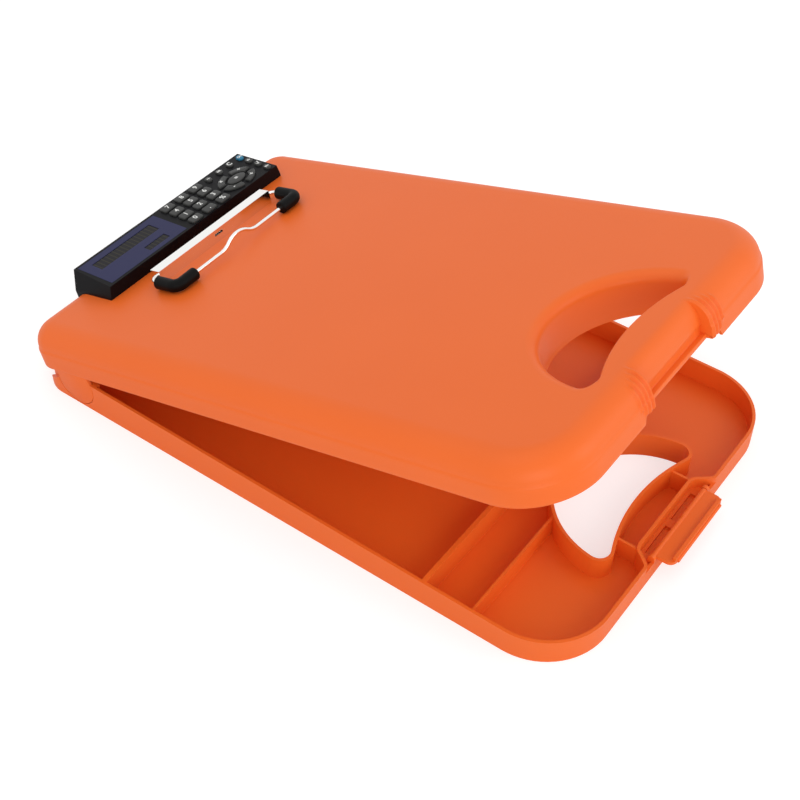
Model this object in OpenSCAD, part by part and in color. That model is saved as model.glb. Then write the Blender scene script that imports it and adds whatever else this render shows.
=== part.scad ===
// Clipboard box: a shallow moulded tray with a hinged, hollow writing lid.
// The lid carries a wire paper clip and a slim desk calculator, and a front latch keeps it shut.
// Millimetres. X runs across the box, Y from the handle to the hinge, Z up from the table.

/* [Box] */
// Width over the side walls
box_w = 254; // [240:1:280]
// Length from the front skirt to the rear skirt
box_l = 406.4; // [395:0.1:440]
// Height of the tray rim at the front
tray_front_h = 17; // [16:0.5:20]
// Height of the tray rim at the rear
tray_rear_h = 23.5; // [23:0.5:27]
// Radius of the two front corners
front_r = 42; // [36:1:50]
// Radius of the two rear corners
rear_r = 18; // [17:0.5:20]
// Wall thickness of tray and lid
wall = 2; // [1.6:0.1:2.4]
// Floor thickness of the tray
floor_t = 2; // [1.6:0.1:2.6]
// Gap between the closed lid and the tray rim
rim_gap = 0.3; // [0.2:0.1:0.6]

/* [Tray compartments] */
// Front face of the wall that ends the paper compartment
paper_wall_y = 94; // [88:0.5:100]
// Thickness of that wall
paper_wall_t = 3; // [2:0.5:4]
// Place of the low pencil rib
pencil_rib_y = 63; // [56:0.5:70]
// Thickness of the thin ribs
rib_t = 1.6; // [1.2:0.1:2.2]
// Drop of the low ribs below the rim
rib_drop = 3; // [1:0.5:5]

/* [Handle] */
// Radius of the rear edge of the hand hole
hole_r = 54; // [48:0.5:58]
// Distance of that arc's centre from the front
hole_y = 25; // [24:0.5:30]
// Radius of the front edge of the hand hole
grip_r = 120; // [110:1:150]
// Least depth of the grip bar in front of the hole
grip_depth = 31; // [29:0.5:33]
// Radius of the two ends of the hand hole
hole_end_r = 7; // [5:0.5:9]

/* [Lid] */
// Height of the lid from its lower edge plane to its top
lid_h = 27.5; // [24:0.5:32]
// Height of the upright skirt
skirt_h = 13.5; // [12:0.5:16]
// Width of the rounded shoulder
shoulder_run = 16; // [12:0.5:16.5]
// Small step where the shoulder starts
shoulder_step = 0.8; // [0.4:0.1:1.4]
// Opening angle as shown
rest_angle = 16.65; // [8:0.05:25]

/* [Hinge] */
// Distance of the hinge axis from the rear edge
hinge_in = 38.4; // [36:0.1:42]
// Height of the hinge axis
hinge_z = 16.5; // [15:0.5:17.5]
// Radius of the lid's round lugs
lug_r = 15.4; // [14:0.1:15.6]
// Thickness of the lugs
lug_t = 2.4; // [2:0.1:3]
// Radius of the moulded pins
pin_r = 3; // [2.5:0.1:3.6]
// Length of the moulded pins
pin_l = 5; // [4:0.5:6]
// Running clearance around each pin
pin_play = 0.06; // [0.03:0.01:0.1]
// Wall around the pin's hole
boss_wall = 3; // [2:0.1:3.2]
// Side gap between lugs and tray
side_gap = 0.3; // [0.2:0.1:0.6]
// Angle between the closed and the fully opened lid
open_angle = 34.15; // [30:0.05:34.5]

/* [Latch] */
// Half the width of the latch
latch_half_w = 31; // [26:0.5:32]
// Distance of the latch axis from the front
latch_y = 2.2; // [2.1:0.1:2.4]
// Height of the latch axis
latch_z = 14.4; // [14.3:0.1:14.6]
// Reach of the latch from its axis
latch_reach = 12.9; // [12.8:0.1:14]
// Thickness of the latch plate
latch_t = 2.2; // [1.8:0.1:2.6]
// Radius of the latch pins
latch_pin_r = 1.2; // [1:0.1:1.3]
// Height of the hook bar above the plate
hook_h = 2.4; // [1.5:0.1:3]
// Width of the hook bar
hook_w = 2.2; // [1.6:0.1:3]
// Distance of the hook bar from the axis
hook_reach = 11.6; // [11.5:0.1:11.8]

/* [Catch] */
// Height of the notch in the front skirt
notch_h = 4.6; // [4.2:0.1:4.7]
// Half the width of the notch
notch_half_w = 41; // [38:0.5:46]
// Setback of the catch lip from the front skirt
catch_set = 3.6; // [3.6:0.1:4]
// Thickness of the catch lip
catch_lip = 3; // [2.4:0.1:3]
// Height of the groove above the lip
groove_h = 5.4; // [5:0.1:6]
// Depth of that groove
groove_d = 3.6; // [3:0.1:4]
// Setback of the shoulder above the groove
catch_back = 6.4; // [5.6:0.1:6.8]
// Grip ribs at each side of the catch
strake_count = 4; // [2:1:5]
// Pitch of the grip ribs
strake_pitch = 3.6; // [3:0.1:3.8]
// Width of one grip rib
strake_w = 1.8; // [1.2:0.1:2.2]
// Height of a grip rib above the shoulder
strake_h = 1.3; // [0.6:0.1:1.4]

/* [Clip] */
// Sideways place of the clip
clip_x = 2.5; // [-10:0.5:10]
// Length of the channel
plate_l = 109; // [90:1:120]
// Gap between the channel and the calculator
plate_gap = 12.5; // [8:0.5:16]
// Depth of the channel
plate_d = 8.4; // [8.3:0.1:9.6]
// Height of the channel
plate_h = 8.8; // [8.8:0.1:11]
// Sheet thickness of the channel
sheet_t = 1.2; // [0.8:0.1:1.5]
// Diameter of the spring wire
wire_d = 2.6; // [2:0.1:3]
// Bail reach from its axis to the front bar
bail_reach = 25; // [24:0.5:34]
// Distance of the wire axis from the channel's rear face
bail_back = 4.2; // [4.1:0.1:4.3]
// Height of the bail's axis above the lid
bail_axis_h = 4.7; // [4.6:0.1:4.7]
// Bend radius of the wire's corners
bend_r = 5; // [4:0.5:6]
// Radius of the rubber sleeves
boot_r = 4.3; // [3.4:0.1:4.6]
// Length of each sleeve's arm along the front bar
boot_l = 12.5; // [9:0.5:14]
// Length of each sleeve's arm along the leg
boot_leg = 13; // [11:0.5:14]
// Height of the thumb bend in the wire
bump_h = 5.5; // [5:0.5:9]
// Length of the thumb bend
bump_l = 36; // [34:1:48]

/* [Calculator] */
// Left end of the calculator
calc_x0 = -79.5; // [-90:0.5:-70]
// Distance of its right end from the last key
end_margin = 4.3; // [3.5:0.1:8]
// Distance of the calculator from the lid's rear edge
calc_in = 3.9; // [3.5:0.1:6]
// Depth of the calculator
calc_d = 36; // [35.6:0.1:37]
// Height at its front edge
calc_front_h = 8.8; // [8.4:0.1:10]
// Height at its rear edge
calc_rear_h = 14.5; // [13:0.1:16]
// Height of the lower case half
calc_split_h = 2.6; // [2.2:0.1:2.8]
// Wall of the calculator case
case_t = 1.4; // [1.2:0.1:1.6]
// Slant of the left end
end_slant = 5; // [2:0.5:7]
// Key travel
key_travel = 0.7; // [0.4:0.1:0.8]
// Height of the keys above the case
key_h = 1.5; // [1.2:0.1:2]
// Gap around each key
key_gap = 0.2; // [0.15:0.05:0.3]
// Rim under the case that keeps each key in
key_rim = 0.6; // [0.4:0.1:0.7]
// Thickness of that rim
key_rim_t = 0.7; // [0.5:0.1:0.8]
// Digit key width
digit_w = 10.4; // [9:0.1:11]
// Digit key depth
digit_d = 6.6; // [6:0.1:7]
// Sideways pitch of the digit keys
digit_pitch_x = 14; // [13:0.1:14.5]
// Pitch between the rows of digit keys
digit_pitch_y = 8.75; // [8.6:0.05:8.8]
// First column of digit keys, from the face plate
digit_in = 11.5; // [9:0.5:16]
// Distance of the first key row from the calculator's front
row_y = 4.7; // [4.6:0.1:4.9]
// Function key width
oval_w = 4.4; // [4:0.1:5]
// Function key depth
oval_d = 6; // [5.4:0.1:6.4]
// Pitch of the function keys along the rear row
oval_pitch = 11.1; // [10.5:0.1:11.2]
// Last column of function keys, from the middle of the key ring
oval_in = 22.6; // [22:0.1:26]
// Middle of the key ring, from the last digit column
ring_in = 23.9; // [23.5:0.1:28]
// Distance of the ring's middle from the calculator's front
ring_y = 13.2; // [12.8:0.1:13.6]
// Half the length of the key ring
ring_a = 16.2; // [15:0.1:16.6]
// Half the depth of the key ring
ring_b = 10.6; // [10:0.1:10.8]
// Half the length of the middle key
core_a = 8.2; // [7.5:0.1:8.6]
// Half the depth of the middle key
core_b = 4.4; // [4:0.1:4.6]
// Left end of the face plate
face_x = -73; // [-74:0.5:-70]
// Length of the face plate
face_l = 71; // [66:0.5:72]
// Length of the display window
lcd_l = 54; // [44:0.5:58]
// Depth of the display window
lcd_d = 10; // [8:0.5:12]
// Length of the solar window
solar_l = 19; // [14:0.5:22]
// Depth of the solar window
solar_d = 6; // [4:0.5:7]

/* [Hidden] */
$fn = 48;
eps = 0.01;
rim_slope = atan((tray_rear_h - tray_front_h) / box_l);
half_w = box_w / 2;
hinge_y = box_l - hinge_in;
calc_y = box_l - calc_in - calc_d;
plate_y = calc_y - plate_gap;
digit_x = face_x + face_l + digit_in;
ring_x = digit_x + 2 * digit_pitch_x + ring_in;
oval_x = ring_x + oval_in;
hinge_bottom = hinge_y * sin(rim_slope) + (tray_front_h - hinge_z) * cos(rim_slope);
lid_axis_y = hinge_y * cos(rim_slope) + (hinge_z - tray_front_h) * sin(rim_slope);
lid_axis_z = -hinge_bottom;
neck_x = half_w - lug_t - side_gap;
neck_start = hinge_y - lug_r - 2 * side_gap;
roll_r = box_l - wall - hinge_y - 2 * side_gap;
neck_corner_r = rear_r + 1.5;
tray_rear_y = box_l - wall - 2 * side_gap;
boss_r = pin_r + pin_play + boss_wall;
bore_l = pin_l + 1;
latch_wall_y = 11;
recess_half_w = latch_half_w + 5;
recess_floor = latch_z - latch_t;
ear_t = 2.4;
ear_r = 2.2;
pin_end = 0.2;
latch_gap = 0.3;
latch_rod_r = latch_t / 2 + 0.6;
latch_stop_z = latch_z - latch_rod_r - latch_gap;
latch_end = 3;
latch_corner_r = 5;
latch_pin_l = latch_gap + ear_t - 1;
flare = 8;
flare_r = 6;
recess_r = 7;
flare_a = 25;
pocket_d = 4;
pocket_h = 2;
catch_half_w = latch_half_w + 1;
shoulder_steps = 12;
lip_top = notch_h + catch_lip;
groove_top = lip_top + groove_h;
strake_low = [0.4, 0.4, 1.5, 5.5];
strake_short = 2.4;
lock_front = catch_set + groove_d + wall;
wire_r = wire_d / 2;
clip_gap = 0.3;
bead = 0.02;
bend_steps = 5;
bend_sides = 16;
bend_lap = 1;
bail_gap = 4;
spring_r = wire_r + 1.3;
spring_half = 12;
spring_leg = 2;
bail_y = plate_y - bail_back;
ear_x = plate_l / 2 - sheet_t;
leg_x = plate_l / 2 + bend_r + clip_gap;
rivet_r = 2;
rivet_x = 36;
rivet_head_h = 0.6;
slot_l = 7.5;
slot_w = 1.6;
slot_x = 2;
slot_z = 5.4;
rivet_y = plate_y - plate_d / 2;
screw_r = 0.6;
post_r = 1.3;
calc_slope = atan((calc_rear_h - calc_front_h) / calc_d);
face_len = calc_d / cos(calc_slope);
layer_gap = 0.05;
key_floor = case_t + key_rim_t + layer_gap;
mat_top = key_floor + key_travel + layer_gap;
mat_t = 0.6;
board_t = 1;
board_top = mat_top + mat_t;
calc_x1 = oval_x + oval_w / 2 + end_margin;
calc_l = calc_x1 - calc_x0;
post_x1 = oval_x - oval_w / 2 - key_rim - key_gap - post_r;
face_v0 = 2.2;
face_v1 = face_len - face_v0;
face_t = 0.8;
window_lip = 1;
window_play = 0.1;
key_corner_r = 1.6;
ring_slot = 1.9;
ring_half = 36;
screw_l = 3;
screw_front = 4;
screw_rear = 16;
display_t = 1.3;
solar_t = 1;
battery_r = 4.9;
battery_t = 1.2;
battery_x = -20;
board_in = 1.8;
lcd_in = 7.5;
lcd_x = face_x + lcd_in;
lcd_v = 19;
solar_in = 12.5;
solar_x = face_x + face_l - solar_l - solar_in;
solar_v = 6;

DIGITS = [
    ["key_0", 0, 0], ["key_point", 1, 0], ["key_percent", 2, 0],
    ["key_1", 0, 1], ["key_2", 1, 1], ["key_3", 2, 1],
    ["key_4", 0, 2], ["key_5", 1, 2], ["key_6", 2, 2],
    ["key_7", 0, 3], ["key_8", 1, 3], ["key_9", 2, 3]
];
OVALS = [
    ["key_on", 0, 3], ["key_clear", -1, 3], ["key_recall", -2, 3], ["key_sign", -3, 3],
    ["key_memory", 0, 2], ["key_root", 0, 1], ["key_store", 0, 0]
];
RING = [["key_divide", 45], ["key_times", 135], ["key_minus", 225], ["key_plus", 315]];

shell_orange = "#e1703f";
black_case = "#17151b";
slate = "#3c3e62";
key_grey = "#3c3c3a";
chrome = "#d9dbde";
rubber = "#101010";

// Points on a circular arc
function arc(c, r, a0, a1, n) = [for (i = [0:n]) c + r * [cos(a0 + (a1 - a0) * i / n), sin(a0 + (a1 - a0) * i / n)]];

// Points on an ellipse between two parameter angles
function oval_arc(a, b, a0, a1, n) = [for (i = [0:n]) [a * cos(a0 + (a1 - a0) * i / n), b * sin(a0 + (a1 - a0) * i / n)]];

// Centre of the small arc at the right end of the hand hole, which touches its front and rear arcs
function hole_end() =
    let (
        gy = grip_depth - grip_r,
        span = hole_y - gy,
        p = hole_r - hole_end_r,
        q = grip_r + hole_end_r,
        b = (q * q - p * p + span * span) / (2 * span)
    )
    [sqrt(q * q - b * b), gy + b];

// Outline of the hand hole, grown by g: rear arc, two small ends, and the bowed front edge
function hole_outline(g) =
    let (
        rr = hole_r + g,
        rg = grip_r - g,
        re = hole_end_r + g,
        gy = grip_depth - grip_r,
        end = hole_end(),
        a_rear = atan2(end[1] - hole_y, end[0]),
        a_front = atan2(end[1] - gy, end[0])
    )
    concat(
        arc([0, hole_y], rr, a_rear, 180 - a_rear, 48),
        arc([-end[0], end[1]], re, 180 - a_rear, 360 - a_front, 10),
        arc([0, gy], rg, 180 - a_front, a_front, 24),
        arc(end, re, a_front - 180, a_rear, 10)
    );

// Outer line of the lid's wall, as distance inward and height, lifted by g
function shoulder_line(g) = concat(
    [[g, rim_gap], [g, skirt_h]],
    [for (i = [0:shoulder_steps])
        let (t = 90 * i / shoulder_steps)
        [-shoulder_step - (shoulder_run - shoulder_step) * (1 - cos(t)) + g * cos(t),
            skirt_h + (lid_h - skirt_h) * sin(t) + g * sin(t)]]
);

// Inner line of the lid's wall, from the top down
function shoulder_inner() = concat(
    [for (i = [shoulder_steps:-1:0])
        let (t = 90 * i / shoulder_steps)
        [-wall - (shoulder_run - wall) * (1 - cos(t)), skirt_h + (lid_h - wall - skirt_h) * sin(t)]],
    [[-wall, rim_gap]]
);

module in_frame() {
    translate([0, -box_l / 2, 0])
        children();
}

// Places lid parts: their own plane is the lid's lower edge, their origin its front middle
module on_lid() {
    in_frame()
        translate([0, hinge_y, hinge_z])
            rotate([-rest_angle, 0, 0])
                translate([0, -hinge_y, tray_front_h - hinge_z])
                    rotate([rim_slope, 0, 0])
                        children();
}

// Places calculator parts: the plane is its sloping face, the origin on its front edge
module on_face() {
    on_lid()
        translate([0, calc_y, lid_h + calc_front_h])
            rotate([calc_slope, 0, 0])
                children();
}

// Rectangle from y0 to y1 with front and rear corner radii
module round_rect(hw, y0, y1, rf, rr) {
    union() {
        polygon([
            [-hw + rf, y0], [hw - rf, y0], [hw, y0 + rf], [hw, y1 - rr],
            [hw - rr, y1], [-hw + rr, y1], [-hw, y1 - rr], [-hw, y0 + rf]
        ]);
        for (s = [-1, 1]) {
            translate([s * (hw - rf), y0 + rf])
                circle(r = rf);
            translate([s * (hw - rr), y1 - rr])
                circle(r = rr);
        }
    }
}

// Everything above the sloping rim plane, lowered by drop
module above_rim(drop) {
    translate([0, 0, tray_front_h - drop])
        rotate([rim_slope, 0, 0])
            translate([-box_w, -box_l / 2, 0])
                cube([2 * box_w, 2 * box_l, 2 * box_l]);
}

// Cylinder along X from x0 to x1
module x_rod(r, x0, x1) {
    translate([x0, 0, 0])
        rotate([0, 90, 0])
            cylinder(r = r, h = x1 - x0);
}

// Box from its lowest to its highest corner
module slab(a, b) {
    translate(a)
        cube(b - a);
}

// Full outside of the tray: straight in front, narrower and rolled round the hinge behind
module tray_outside(inset, z0) {
    translate([0, 0, z0])
        linear_extrude(height = tray_rear_h)
            intersection() {
                round_rect(half_w - inset, inset, box_l, front_r - inset, rear_r);
                translate([-box_w, -1])
                    square([2 * box_w, neck_start + 1 - inset]);
            }
    intersection() {
        translate([0, 0, z0])
            linear_extrude(height = tray_rear_h)
                round_rect(neck_x - inset, neck_start - box_w / 4, tray_rear_y - inset,
                    eps, neck_corner_r - inset);
        union() {
            translate([0, hinge_y, hinge_z])
                x_rod(roll_r - inset, -half_w, half_w);
            slab([-half_w, neck_start - wall - box_w / 8, 0], [half_w, hinge_y, tray_rear_h + wall]);
        }
    }
}

// Sides beside the neck, flush with the front part, clear of the lugs and of the opened lid
module tray_flanks() {
    difference() {
        intersection() {
            linear_extrude(height = tray_rear_h)
                difference() {
                    round_rect(half_w, 0, tray_rear_y, front_r, neck_corner_r);
                    translate([-neck_x + wall, 0])
                        square([2 * (neck_x - wall), box_l]);
                    translate([-box_w, -1])
                        square([2 * box_w, neck_start + 1 - wall]);
                }
            translate([0, hinge_y, hinge_z])
                x_rod(roll_r, -half_w, half_w);
        }
        for (s = [-1, 1])
            translate([0, hinge_y, hinge_z])
                x_rod(lug_r + side_gap, s > 0 ? neck_x : -box_w, s > 0 ? box_w : -neck_x);
        opened_lid()
            translate([-box_w, lid_axis_y, -side_gap])
                cube([2 * box_w, box_l, box_l]);
    }
}

// Places a shape of the lid where the fully opened lid has it
module opened_lid() {
    translate([0, hinge_y, hinge_z])
        rotate([-open_angle, 0, 0])
            translate([0, -hinge_y, tray_front_h - hinge_z])
                rotate([rim_slope, 0, 0])
                    children();
}

// Space of the latch in the tray's front, seen from above
module latch_recess(g, z0, z1) {
    translate([0, 0, z0])
        linear_extrude(height = z1 - z0)
            polygon(concat(
                [[recess_half_w + flare + g, -1], [recess_half_w + flare + g, 0]],
                arc([recess_half_w + flare, flare_r], flare_r - g, 270, 190 + flare_a, 5),
                arc([recess_half_w - recess_r, latch_wall_y - recess_r], recess_r + g, flare_a, 90, 6),
                arc([-recess_half_w + recess_r, latch_wall_y - recess_r], recess_r + g, 90, 180 - flare_a, 6),
                arc([-recess_half_w - flare, flare_r], flare_r - g, 350 - flare_a, 270, 5),
                [[-recess_half_w - flare - g, 0], [-recess_half_w - flare - g, -1]]
            ));
}

module tray() {
    color(shell_orange)
        in_frame()
            difference() {
                union() {
                    difference() {
                        tray_outside(0, 0);
                        tray_outside(wall, floor_t);
                    }
                    tray_flanks();
                    intersection() {
                        tray_outside(eps, 0);
                        union() {
                            slab([-half_w, paper_wall_y, 0], [half_w, paper_wall_y + paper_wall_t, tray_rear_h]);
                            difference() {
                                slab([-half_w, pencil_rib_y, 0], [0, pencil_rib_y + rib_t, tray_rear_h]);
                                above_rim(rib_drop);
                            }
                            difference() {
                                for (s = [-1, 1])
                                    slab([s * recess_half_w * 0.9 - rib_t / 2, wall, 0],
                                        [s * recess_half_w * 0.9 + rib_t / 2, grip_depth, tray_rear_h]);
                                above_rim(rib_drop / 2);
                            }
                            linear_extrude(height = tray_rear_h)
                                polygon(hole_outline(wall));
                            latch_recess(wall, 0, tray_rear_h);
                        }
                    }
                    for (s = [-1, 1])
                        translate([0, hinge_y, hinge_z])
                            x_rod(boss_r, s > 0 ? neck_x - bore_l : -neck_x, s > 0 ? neck_x : -neck_x + bore_l);
                }
                translate([0, 0, -1])
                    linear_extrude(height = 2 * tray_rear_h)
                        polygon(hole_outline(0));
                difference() {
                    latch_recess(0, recess_floor - latch_t, 2 * tray_rear_h);
                    slab([-half_w, 0, 0], [half_w, wall, latch_stop_z]);
                    for (s = [-1, 1])
                        latch_ear(s);
                }
                for (s = [-1, 1])
                    translate([s * latch_half_w / 2, latch_y + latch_rod_r + 1, 0])
                        slab([-latch_half_w / 2 + latch_end, 0, recess_floor - latch_t - pocket_h],
                            [latch_half_w / 2 - latch_end, pocket_d, tray_front_h]);
                translate([0, hinge_y, hinge_z])
                    x_rod(pin_r + pin_play, -half_w, -neck_x + bore_l + eps);
                translate([0, hinge_y, hinge_z])
                    x_rod(pin_r + pin_play, neck_x - bore_l - eps, half_w);
                translate([0, latch_y, latch_z])
                    x_rod(latch_pin_r + pin_play, -latch_half_w - latch_pin_l - pin_end,
                        latch_half_w + latch_pin_l + pin_end);
                above_rim(0);
            }
}

// One ear that carries a latch pin, on side s
module latch_ear(s) {
    x0 = s > 0 ? latch_half_w + latch_gap : -latch_half_w - latch_gap - ear_t;
    translate([0, latch_y, latch_z])
        x_rod(ear_r, x0, x0 + ear_t);
    slab([x0, latch_y - ear_r, floor_t], [x0 + ear_t, latch_y + ear_r, latch_z]);
}

// Wall of the lid all round, as a ring of its section
module lid_ring() {
    for (s = [0, 1]) {
        mirror([s, 0, 0]) {
            translate([half_w - rear_r, box_l - rear_r, 0])
                rotate_extrude(angle = 90)
                    translate([rear_r, 0])
                        lid_section();
            translate([half_w - front_r, front_r, 0])
                rotate([0, 0, -90])
                    rotate_extrude(angle = 90)
                        translate([front_r, 0])
                            lid_section();
            translate([half_w, box_l - rear_r, 0])
                rotate([90, 0, 0])
                    linear_extrude(height = box_l - rear_r - front_r)
                        lid_section();
        }
    }
    translate([-half_w + rear_r, box_l, 0])
        rotate([0, 0, 90])
            rotate([90, 0, 0])
                linear_extrude(height = box_w - 2 * rear_r)
                    lid_section();
    translate([half_w - front_r, 0, 0])
        rotate([0, 0, 270])
            rotate([90, 0, 0])
                linear_extrude(height = box_w - 2 * front_r)
                    lid_section();
}

module lid_section() {
    polygon(concat(
        shoulder_line(0),
        [[-shoulder_run - 1, lid_h], [-shoulder_run - 1, lid_h - wall]],
        shoulder_inner()
    ));
}

// Solid under the front shoulder between x0 and x1, back to depth d
module shoulder_block(x0, x1, g, z0, d) {
    translate([x1, 0, 0])
        rotate([0, 0, 270])
            rotate([90, 0, 0])
                linear_extrude(height = x1 - x0)
                    intersection() {
                        polygon(concat(shoulder_line(g), [[-shoulder_run, rim_gap]]));
                        translate([-d, z0])
                            square([d + 2 * strake_h, lid_h]);
                    }
}

// Set-back shoulder line from the lid's top down to height z0, at distance set
function catch_line(set, z0, top) = [for (i = [shoulder_steps:-1:0])
    let (t = 90 * i / shoulder_steps)
    [set + (shoulder_run - set) * (1 - cos(t)), z0 + (top - z0) * sin(t)]];

// Catch behind the latch, as a section along X: set-back shoulder, groove and lip
module catch_section() {
    inner = catch_line(catch_back + wall, groove_top + wall, lid_h - wall);
    polygon(concat(
        [[shoulder_run + 1, lid_h]],
        catch_line(catch_back, groove_top, lid_h),
        [
            [catch_set + groove_d, groove_top], [catch_set + groove_d, lip_top],
            [catch_set, lip_top], [catch_set, notch_h],
            [lock_front, notch_h], [lock_front, groove_top + wall]
        ],
        [for (i = [len(inner) - 1:-1:0]) inner[i]],
        [[shoulder_run + 1, lid_h - wall]]
    ));
}

module lid() {
    color(shell_orange)
        on_lid() {
            difference() {
                union() {
                    difference() {
                        union() {
                            lid_ring();
                            translate([0, 0, lid_h - wall])
                                linear_extrude(height = wall)
                                    round_rect(half_w - shoulder_run, shoulder_run, box_l - shoulder_run,
                                        front_r - shoulder_run, rear_r - shoulder_run);
                            translate([0, 0, rim_gap])
                                linear_extrude(height = lid_h - rim_gap - eps)
                                    polygon(hole_outline(wall));
                            intersection() {
                                for (s = [-1, 1])
                                    slab([s * (catch_half_w + 1) - 1, 1, notch_h],
                                        [s * (catch_half_w + 1) + 1, lock_front + 1, lid_h - wall / 2]);
                                shoulder_block(-half_w / 2, half_w / 2, 0, 0, shoulder_run);
                            }
                            for (s = [-1, 1])
                                for (i = [0:strake_count - 1])
                                    translate([s * (catch_half_w + 1 + i * strake_pitch), 0, 0])
                                        shoulder_block(-strake_w / 2, strake_w / 2, strake_h,
                                            notch_h + strake_low[i % 4], shoulder_run - 3 - i * strake_short);
                        }
                        slab([-catch_half_w, -2, 0], [catch_half_w, shoulder_run, lid_h + 1]);
                        translate([0, -2, 0])
                            rotate([-90, 0, 0])
                                linear_extrude(height = lock_front + 2)
                                    polygon([
                                        [-notch_half_w - 2, 0], [-notch_half_w, -notch_h],
                                        [notch_half_w, -notch_h], [notch_half_w + 2, 0]
                                    ]);
                    }
                    translate([-catch_half_w - 1, 0, 0])
                        rotate([90, 0, 90])
                            linear_extrude(height = 2 * catch_half_w + 2)
                                catch_section();
                }
                translate([0, 0, -1])
                    linear_extrude(height = 2 * lid_h)
                        polygon(hole_outline(0));
            }
            for (s = [-1, 1]) {
                translate([0, lid_axis_y, lid_axis_z]) {
                    x_rod(lug_r, s > 0 ? half_w - lug_t : -half_w, s > 0 ? half_w : -half_w + lug_t);
                    x_rod(pin_r, s > 0 ? half_w - lug_t - pin_l : -half_w + eps, s > 0 ? half_w - eps : -half_w + lug_t + pin_l);
                }
            }
        }
}

// Latch, drawn lying open: plate, hook bar and rolled outer lip, with a pin at each end
module latch() {
    color(shell_orange)
        in_frame()
            translate([0, latch_y, latch_z]) {
                difference() {
                    union() {
                        x_rod(latch_rod_r, -latch_half_w, latch_half_w);
                        slab([-latch_half_w, -latch_reach, -latch_t / 2], [latch_half_w, 0, latch_t / 2]);
                        slab([-latch_half_w + latch_end, -hook_reach - hook_w / 2, 0],
                            [latch_half_w - latch_end, -hook_reach + hook_w / 2, latch_t / 2 + hook_h]);
                        translate([0, -latch_reach, 0])
                            x_rod(latch_t / 2, -latch_half_w + latch_corner_r, latch_half_w - latch_corner_r);
                    }
                    for (s = [-1, 1])
                        translate([s * (latch_half_w - latch_corner_r), -latch_reach + latch_corner_r, -latch_reach])
                            difference() {
                                slab([s > 0 ? 0 : -latch_reach, -latch_reach, 0],
                                    [s > 0 ? latch_reach : 0, 0, 2 * latch_reach]);
                                cylinder(r = latch_corner_r, h = 2 * latch_reach);
                            }
                }
                x_rod(latch_pin_r, -latch_half_w - latch_pin_l, latch_half_w + latch_pin_l);
            }
}

// Folded sheet channel: base on the lid, rear and front wall, top, and a bored end wall at each side
module clip_channel() {
    color(chrome)
        on_lid()
            translate([clip_x, plate_y, lid_h]) {
                difference() {
                    union() {
                        slab([-plate_l / 2, -plate_d, 0], [plate_l / 2, 0, sheet_t]);
                        slab([-plate_l / 2, -sheet_t, 0], [plate_l / 2, 0, plate_h]);
                        slab([-plate_l / 2, -plate_d, 0], [plate_l / 2, -plate_d + sheet_t, plate_h]);
                        slab([-plate_l / 2, -plate_d, plate_h - sheet_t], [plate_l / 2, 0, plate_h]);
                        for (s = [-1, 1])
                            slab([s > 0 ? ear_x : -ear_x - sheet_t, -plate_d, 0],
                                [s > 0 ? ear_x + sheet_t : -ear_x, 0, plate_h]);
                    }
                    translate([0, -bail_back, bail_axis_h])
                        x_rod(wire_r + pin_play, -plate_l, plate_l);
                    for (s = [-1, 1])
                        translate([s * rivet_x, rivet_y - plate_y, -1])
                            cylinder(r = rivet_r, h = 2 + sheet_t);
                    slab([slot_x - slot_l / 2, -plate_d - 1, slot_z - slot_w / 2],
                        [slot_x + slot_l / 2, -plate_d + sheet_t + eps, slot_z + slot_w / 2]);
                }
            }
}

module clip_rivets() {
    color(chrome)
        on_lid()
            for (s = [-1, 1])
                translate([clip_x + s * rivet_x, rivet_y, lid_h]) {
                    cylinder(r = rivet_r - 0.02, h = sheet_t);
                    translate([0, 0, sheet_t])
                        cylinder(r = rivet_r + 1, h = rivet_head_h);
                }
}

// Bend of the bail's wire: leg from the axis, corner, and half of the front bar
module bail_half() {
    x_rod(wire_r, bail_gap, leg_x - bend_r);
    translate([leg_x - bend_r, -bend_r, 0])
        rotate_extrude(angle = 90)
            translate([bend_r, 0])
                circle(r = wire_r);
    translate([leg_x, -bend_r, 0])
        rotate([90, 0, 0])
            cylinder(r = wire_r, h = bail_reach - 2 * bend_r);
    translate([leg_x - bend_r, -bail_reach + bend_r, 0])
        rotate([0, 0, -90])
            rotate_extrude(angle = 90)
                translate([bend_r, 0])
                    circle(r = wire_r);
    translate([0, -bail_reach, 0])
        x_rod(wire_r, bump_l / 2, leg_x - bend_r);
}

// Centre line of the thumb bend as points [x, height, slope]: two arcs that rise and one that arches over
function bend_line(r, a) =
    let (half = bump_l / 2, m = bend_steps)
    concat(
        [[-half - bend_lap, 0, 0]],
        [for (k = [0:m]) [-half + r * sin(a * k / m), r - r * cos(a * k / m), a * k / m]],
        [for (k = [1:2 * m])
            let (t = a - a * k / m)
            [-r * sin(t), bump_h - r + r * cos(t), t]],
        [for (k = [1:m])
            let (t = -a + a * k / m)
            [half + r * sin(t), r - r * cos(t), t]],
        [[half + bend_lap, 0, 0]]
    );

// Raised thumb bend in the middle of the front bar, as a tube of straight facets
module thumb_bend() {
    side = bump_l / 4;
    r = (side * side + bump_h * bump_h / 4) / bump_h;
    line = bend_line(r, asin(side / r));
    n = bend_sides;
    last = len(line) - 1;
    tube_r = (wire_r + bead) / cos(180 / n);
    translate([0, -bail_reach, 0])
        polyhedron(
            points = [for (p = line) for (j = [0:n - 1])
                [p[0] - tube_r * cos(360 * j / n) * sin(p[2]),
                    tube_r * sin(360 * j / n),
                    p[1] + tube_r * cos(360 * j / n) * cos(p[2])]],
            faces = concat(
                [[for (j = [n - 1:-1:0]) j]],
                [for (i = [0:last - 1]) for (j = [0:n - 1])
                    [i * n + j, i * n + (j + 1) % n, (i + 1) * n + (j + 1) % n, (i + 1) * n + j]],
                [[for (j = [0:n - 1]) last * n + j]]
            )
        );
}

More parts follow.
